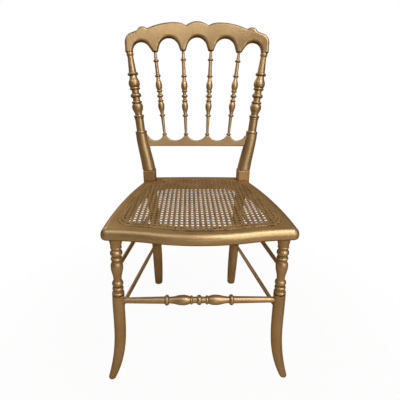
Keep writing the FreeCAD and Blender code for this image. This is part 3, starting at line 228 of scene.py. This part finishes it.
def gilt(name, strokes, seam=None, painted_shade_top=None):
    """Satin gold paint over wood. strokes is how fine the brush marks are along X, Y and Z.
    seam is the place along Y of a joint that shows through the paint.
    The last argument is the height where the painted shade under the seat ends, on what faces forward."""
    material = bpy.data.materials.new(name)
    graph = Graph(material)
    place = graph.place()
    facing = graph.add("ShaderNodeNewGeometry", output="Normal")
    patches = graph.noise(place, PATCHES, detail=3.0)
    brush = graph.noise(graph.scaled(place, strokes), 1.0, detail=3.0)
    flakes = graph.noise(place, FLAKES, detail=1.0)
    chipped = graph.noise(place, CHIPPED_AREAS, detail=1.0).step(*CHIPPED_RANGE)
    chips = graph.noise(place, CHIPS, detail=2.0).step(*CHIP_RANGE) * chipped
    # Darker in hollows and close under other parts: partly grime in the grooves, partly painted shade
    hollow = graph.hollow(GILT_HOLLOW).step(*GILT_HOLLOW_RANGE)
    # Painted shade on what faces down
    painted_underside_shade = graph.part(facing, "Z").step(*UNDERSIDE_SHADE_RANGE)
    tone = worn(graph, patches, brush, BROWN_GOLD, GOLD)
    tone = graph.mix(flakes.step(*FLAKE_RANGE) * FLAKE_SHARE, tone, FLAKE)
    tone = graph.mix(hollow * GILT_GRIME_AND_SHADE_SHARE, tone, GROOVE_AND_SHADE)
    tone = graph.mix(painted_underside_shade * UNDERSIDE_SHADE_SHARE, tone, GROOVE_AND_SHADE)
    height = flakes * FLAKE_RELIEF + brush * BRUSH_RELIEF - chips
    # Painted shade under the seat, on what faces forward
    if painted_shade_top is not None:
        up = graph.part(place, "Z")
        forward = graph.part(facing, "Y").step(*FORWARD_RANGE)
        painted_seat_shade = forward * up.step(SEAT_SHADE_START, SEAT_SHADE_FULL)
        painted_seat_shade = painted_seat_shade * up.step(painted_shade_top, painted_shade_top - SEAT_SHADE_FADE)
        tone = graph.mix(painted_seat_shade * SEAT_SHADE_SHARE, tone, GROOVE_AND_SHADE)
    if seam is not None:
        crack = abs(graph.part(place, "Y") - seam).step(SEAM_EDGE, SEAM_CORE)
        tone = graph.mix(crack * SEAM_SHARE, tone, GROOVE_AND_SHADE)
        height = height - crack * SEAM_RELIEF
    tone = graph.mix(chips, tone, CHIP)
    rough = GILT_ROUGH + patches * PATCH_ROUGH + brush * BRUSH_ROUGH + chips * CHIP_ROUGH
    graph.surface({"Base Color": tone, "Roughness": rough, "Metallic": GILT_METAL - chips * GILT_METAL,
                   "Normal": graph.bump(GILT_BUMP, height), "Specular Tint": EDGE_TINT})
    return material


def cane_finish(name, dull, bright):
    """Split cane under worn gold paint."""
    material = bpy.data.materials.new(name)
    graph = Graph(material)
    place = graph.place()
    patches = graph.noise(place, CANE_PATCHES, detail=3.0)
    fibre = graph.noise(place, CANE_FIBRES, detail=2.0)
    # Painted shade where strands cross and lie close
    hollow = graph.hollow(CANE_HOLLOW).step(*CANE_HOLLOW_RANGE)
    tone = worn(graph, patches, fibre, dull, bright)
    tone = graph.mix(hollow * CANE_SHADE_SHARE, tone, GROOVE_AND_SHADE)
    graph.surface({"Base Color": tone, "Roughness": CANE_ROUGH + fibre * FIBRE_ROUGH,
                   "Metallic": CANE_METAL, "Normal": graph.bump(CANE_BUMP, fibre),
                   "Specular Tint": EDGE_TINT})
    return material


def bare_wood():
    material = bpy.data.materials.new("bare_wood")
    graph = Graph(material)
    grain = graph.noise(graph.scaled(graph.place(), WOOD_GRAIN), 1.0, detail=3.0)
    graph.surface({"Base Color": graph.mix(grain, WOOD_DARK, WOOD_PALE), "Roughness": WOOD_ROUGH})
    return material


CORNER_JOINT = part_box("seat_front_rail")[1][1]
SEAT_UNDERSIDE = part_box("seat_rear_rail")[0][2]
UPRIGHT = gilt("gilt_upright", (FINE, FINE, COARSE))
# The posts get painted shade under the seat
POST = gilt("gilt_post", (FINE, FINE, COARSE), painted_shade_top=SEAT_UNDERSIDE)
ACROSS = gilt("gilt_across", (COARSE, FINE, FINE))
DEEP = gilt("gilt_deep", (FINE, COARSE, FINE))
FRONT_RAIL = gilt("gilt_front_rail", (COARSE, FINE, FINE), seam=CORNER_JOINT)
SIDE_RAIL = gilt("gilt_side_rail", (FINE, COARSE, FINE), seam=CORNER_JOINT)
CANE = cane_finish("gilded_cane", CANE_DULL, CANE_BRIGHT)
STITCH = cane_finish("gilded_stitch", STITCH_DULL, STITCH_BRIGHT)
WOOD = bare_wood()

FINISH = {
    "back_post_left": POST, "back_post_right": POST, "lower_back_rail": ACROSS,
    "seat_front_rail": FRONT_RAIL, "seat_rear_rail": ACROSS,
    "seat_side_rail_left": SIDE_RAIL, "seat_side_rail_right": SIDE_RAIL,
    "front_stretcher": ACROSS, "rear_stretcher": ACROSS, "seat_frame_dowels": WOOD,
}


def dress_nodes():
    for name, node in nodes.items():
        finish = DEEP if name.startswith("side_stretcher") else FINISH.get(name, UPRIGHT)
        node.data.materials.clear()
        node.data.materials.append(finish)


# Caned seat: six sets of strands, woven, and the strands and stitches that edge them

COLUMN_PITCH, ROW_PITCH = 0.0117, 0.0131
FIRST_COLUMN, FIRST_ROW = 0.001, -0.18565
EACH_WAY = 32
STRAND_WIDTH, STRAND_THICK = 0.0029, 0.0007
ROW_SCALE = 1.12
SECTION_POINTS = 8

# Half the distance between the two strands of a pair
COLUMN_PAIR, ROW_PAIR = 0.0016, 0.0018

# Heights of strands from the top of the cane, and how far their ends run in under its edge
LOW, HIGH = -0.00035, 0.00035
UNDER, OVER = -0.00095, 0.00095
TUCK = 0.0025

EDGE_WIDTH, EDGE_TALL, EDGE_STEPS = 0.0044, 0.0019, 360
BORDER_INSET, BORDER_WIDTH, BORDER_LIFT = 0.0095, 0.0055, 0.0009

# Farther from the seat's middle than any edge
BEYOND = 0.5

# A stitch over the edge strand: how far inward and how high its points are
STITCH_ARCH = ((-0.0030, -0.0010), (-0.0018, 0.0004), (0, 0.0009), (0.0018, 0.0006),
               (0.0045, 0.0004), (0.0085, 0.0002))
STITCH_WIDTH, STITCH_THICK, STITCH_PITCH = 0.0034, 0.0008, 0.0045
STITCH_SLANT, STITCH_LENGTH, STITCH_SCALE = (-0.9, 0.9), (0.7, 1.1), (0.8, 1.15)
STITCH_SEED = 7


def mesh_piece(name, mesh, material, slot, *replaced):
    piece = bpy.data.objects.new(name, mesh)
    bpy.context.scene.collection.objects.link(piece)
    mesh.materials.clear()
    mesh.materials.append(material)
    for face in mesh.polygons:
        face.use_smooth = True
    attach(piece, "root")
    if replaced:
        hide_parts(*replaced)


def strand_section(name, width, thick):
    """Cross-section of a strand, a flat oval."""
    curve = bpy.data.curves.new(name, "CURVE")
    spline = curve.splines.new("POLY")
    spline.points.add(SECTION_POINTS - 1)
    for number, point in enumerate(spline.points):
        turn = math.tau * number / SECTION_POINTS
        point.co = (math.cos(turn) * width / 2, math.sin(turn) * thick / 2, 0, 1)
    spline.use_cyclic_u = True
    return bpy.data.objects.new(name, curve)


def swept(name, paths, width, thick, closed=False):
    """A mesh of flat strands that lie level along paths.
    A path is its points and a scale of the section."""
    section = strand_section(f"{name}_section", width, thick)
    curve = bpy.data.curves.new(name, "CURVE")
    curve.dimensions = "3D"
    curve.twist_mode = "Z_UP"
    curve.bevel_mode = "OBJECT"
    curve.bevel_object = section
    curve.use_fill_caps = True
    for path, scale in paths:
        spline = curve.splines.new("POLY")
        spline.points.add(len(path) - 1)
        for point, place in zip(spline.points, path):
            point.co = (*place, 1)
            point.radius = scale
        spline.use_cyclic_u = closed
    holder = bpy.data.objects.new(name, curve)
    bpy.context.scene.collection.objects.link(holder)
    graph = bpy.context.evaluated_depsgraph_get()
    mesh = bpy.data.meshes.new_from_object(holder.evaluated_get(graph))
    bpy.data.objects.remove(holder)
    bpy.data.objects.remove(section)
    return mesh


class SeatEdge:
    """The edge strand of the cane in the frame, for finding where strands end."""

    def __init__(self):
        self.tree = BVHTree.FromObject(nodes["cane_binder"], bpy.context.evaluated_depsgraph_get())
        low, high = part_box("cane_binder")
        self.middle = (Vector(low) + Vector(high)) / 2

    def reach(self, start, way):
        """How far it is from a point inside the seat to the edge strand."""
        return self.tree.ray_cast(Vector((start.x, start.y, self.middle.z)), way)[3]

    def centreline(self, height):
        """Points along the middle of the edge strand, at a height."""
        points = []
        for step in range(EDGE_STEPS):
            turn = math.tau * step / EDGE_STEPS
            way = Vector((math.cos(turn), math.sin(turn), 0))
            inner = self.tree.ray_cast(self.middle, way)[3]
            outer = self.tree.ray_cast(self.middle + way * BEYOND, -way)[3]
            point = self.middle + way * ((inner + BEYOND - outer) / 2)
            points.append(Vector((point.x, point.y, height)))
        return points


def woven_paths(edge, top):
    """Paths of the six sets of strands, woven over and under each other."""
    paths = []

    def strand(passing, way, height, crossings=(), scale=1.0):
        """One strand from edge to edge through a point.
        A crossing is an axis, a place on it and a height."""
        direction = Vector((*way, 0)).normalized()
        passing = Vector((*passing, 0))
        middle = Vector((edge.middle.x, edge.middle.y, 0))
        start = passing + direction * (middle - passing).dot(direction)
        ends = [edge.reach(start, direction), edge.reach(start, -direction)]
        if None in ends:
            return
        ahead, behind = (end + TUCK for end in ends)
        woven = sorted(((place - start[axis]) / direction[axis], up) for axis, place, up in crossings)
        woven = [item for item in woven if -behind < item[0] < ahead]
        places = [(-behind, height), *woven, (ahead, height)]
        points = [start + direction * run + Vector((0, 0, top + up)) for run, up in places]
        paths.append((points, scale))

    numbers = range(-EACH_WAY, EACH_WAY + 1)
    columns = [FIRST_COLUMN + number * COLUMN_PITCH for number in numbers]
    rows = [FIRST_ROW + number * ROW_PITCH for number in numbers]
    for x in columns:
        strand((x - COLUMN_PAIR, 0), (0, 1), LOW)
        strand((x + COLUMN_PAIR, 0), (0, 1), HIGH)
    sides = ((-COLUMN_PAIR, UNDER), (COLUMN_PAIR, OVER))
    passes = [(0, x + side, up) for x in columns for side, up in sides]
    for y in rows:
        strand((0, y - ROW_PAIR), (1, 0), 0, scale=ROW_SCALE)
        strand((0, y + ROW_PAIR), (1, 0), 0, passes, ROW_SCALE)
    for sign, on_column, on_row in ((1, OVER, UNDER), (-1, UNDER, OVER)):
        knots = [(0, x + side, on_column) for x in columns for side in (-COLUMN_PAIR, COLUMN_PAIR)]
        knots += [(1, y + side, on_row) for y in rows for side in (-ROW_PAIR, ROW_PAIR)]
        for y in rows:
            strand((FIRST_COLUMN, y + ROW_PITCH / 2), (COLUMN_PITCH, sign * ROW_PITCH), 0, knots)
    return paths


def stitch_paths(ring):
    """Paths of short stitches over the edge strand, each a little different."""
    chance = random.Random(STITCH_SEED)
    paths, run = [], 0.0
    for here, there in zip(ring, ring[1:] + ring[:1]):
        step = (there - here).length
        if int((run + step) / STITCH_PITCH) > int(run / STITCH_PITCH):
            along = (there - here).normalized()
            inward = Vector((0, 0, 1)).cross(along)
            slant, length = chance.uniform(*STITCH_SLANT), chance.uniform(*STITCH_LENGTH)
            points = [here + inward * side * length + along * side * slant + Vector((0, 0, up))
                      for side, up in STITCH_ARCH]
            paths.append((points, chance.uniform(*STITCH_SCALE)))
        run += step
    return paths


def cane_seat():
    edge = SeatEdge()
    bottom, top = (corner[2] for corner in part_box("cane_panel"))
    mesh = swept("cane_weave", woven_paths(edge, top), STRAND_WIDTH, STRAND_THICK)
    mesh_piece("cane_weave", mesh, CANE, "cane", "cane_panel")

    ring = edge.centreline(bottom + EDGE_TALL / 2)
    mesh = swept("cane_edge", [(ring, 1.0)], EDGE_WIDTH, EDGE_TALL, closed=True)
    mesh_piece("cane_edge", mesh, CANE, "cane", "cane_binder")
    mesh = swept("cane_stitches", stitch_paths(ring), STITCH_WIDTH, STITCH_THICK)
    mesh_piece("cane_stitches", mesh, STITCH, "cane")

    lift = Vector((0, 0, top - bottom + BORDER_LIFT - EDGE_TALL / 2))
    border = [point + lift + (edge.middle - point).normalized() * BORDER_INSET for point in ring]
    mesh = swept("cane_border", [(border, 1.0)], BORDER_WIDTH, STRAND_THICK, closed=True)
    mesh_piece("cane_border", mesh, CANE, "cane")


# Studio

LIGHT_CENTRE = Vector((0, 0, 0.55))
LIGHT_AWAY = 2.3
LIGHT_TINT = (0.96, 0.98, 1.0)

# Name, turn from the front towards +X and rise in degrees, size in metres, power in watts
LIGHTS = (
    ("key", 36, 52, 1.0, 26),
    ("window", 36, 14, 0.9, 10),
    ("left_fill", -45, 52, 0.9, 7),
    ("upper_fill", 28, 36, 0.6, 3),
    ("front_fill", 4, 2, 0.7, 2.5),
    ("back_fill", -135, 30, 0.9, 7),
)

WHITE = (1, 1, 1, 1)
FLOOR_TONE = (0.56, 0.48, 0.38, 1)
FLOOR_HALF = 6

# How white the floor is to the camera at the chair, how much more away from it, and between where
FLOOR_WHITE, FLOOR_WHITER, FLOOR_WHITER_RANGE = 0.965, 0.035, (0.3, 0.9)
FLOOR_BACKDROP_RANGE = (1.5, 3.0)

# Tones of the room, and the directions between which its paler wall and the backdrop start
ROOM_TONE, WALL_TONE = (0.135, 0.115, 0.09, 1), (0.6, 0.54, 0.46, 1)
WALL_BACK, WALL_FOOT, WALL_TOP = (0.3, 0.8), (0.22, 0.42), (0.8, 0.55)
BACKDROP_RANGE = (0.95, 1.0)


def area_light(name, turn, rise, size, power):
    """A square lamp that looks at the chair."""
    lamp = bpy.data.lights.new(name, "AREA")
    lamp.size = size
    lamp.energy = power
    lamp.color = LIGHT_TINT
    light = bpy.data.objects.new(name, lamp)
    bpy.context.scene.collection.objects.link(light)
    aim = Matrix.Rotation(math.radians(turn), 4, "Z") @ Matrix.Rotation(math.radians(90 - rise), 4, "X")
    away = Matrix.Translation((0, 0, LIGHT_AWAY))
    light.matrix_world = Matrix.Translation(LIGHT_CENTRE) @ aim @ away


def shown_rays(graph, backdrop):
    """1 for rays from the camera, and for those that metal and clear things send to the backdrop."""
    camera, glossy, clear = (graph.add("ShaderNodeLightPath", output=name) for name in (
        "Is Camera Ray", "Is Glossy Ray", "Is Transmission Ray"))
    return (camera + (glossy + clear) * backdrop).clamp()


def floor_finish():
    """Pale paper, white to the camera away from the chair and softly shaded under it."""
    paper = bpy.data.materials.new("paper_floor")
    graph = Graph(paper)
    place = graph.place()
    distance = graph.add("ShaderNodeVectorMath", {"operation": "LENGTH"}, (place,), output="Value")
    whiteness = FLOOR_WHITE + distance.step(*FLOOR_WHITER_RANGE) * FLOOR_WHITER
    shown = shown_rays(graph, graph.part(place, "Y").step(*FLOOR_BACKDROP_RANGE))
    shaded = graph.add("ShaderNodeBsdfDiffuse", {}, {"Color": FLOOR_TONE})
    white = graph.add("ShaderNodeEmission", {}, {"Color": WHITE, "Strength": 1.0})
    seen = graph.add("ShaderNodeMixShader", {}, (shown * whiteness, shaded, white))
    graph.add("ShaderNodeOutputMaterial", {}, {"Surface": seen})
    return paper


def studio_world():
    """A dim room with a paler wall high behind. The camera and reflections see the white backdrop."""
    world = bpy.data.worlds.new("studio")
    bpy.context.scene.world = world
    graph = Graph(world)
    way = graph.add("ShaderNodeTexCoord", output="Generated")
    back, up = (graph.part(way, axis) for axis in "YZ")
    wall = back.step(*WALL_BACK) * up.step(*WALL_FOOT) * up.step(*WALL_TOP)
    tone = graph.mix(wall, ROOM_TONE, WALL_TONE)
    shown = shown_rays(graph, back.step(*BACKDROP_RANGE))
    room = graph.add("ShaderNodeBackground", {}, {"Color": tone, "Strength": 1.0})
    white = graph.add("ShaderNodeBackground", {}, {"Color": WHITE, "Strength": 1.0})
    seen = graph.add("ShaderNodeMixShader", {}, (shown, room, white))
    graph.add("ShaderNodeOutputWorld", {}, {"Surface": seen})


def studio():
    mesh = bpy.data.meshes.new("floor")
    form = bmesh.new()
    bmesh.ops.create_grid(form, x_segments=1, y_segments=1, size=FLOOR_HALF)
    form.to_mesh(mesh)
    form.free()
    mesh.materials.append(floor_finish())
    floor = bpy.data.objects.new("floor", mesh)
    bpy.context.scene.collection.objects.link(floor)
    studio_world()
    for light in LIGHTS:
        area_light(*light)


bpy.context.scene.view_settings.view_transform = "Standard"
add_camera()
dress_nodes()
cane_seat()
studio()
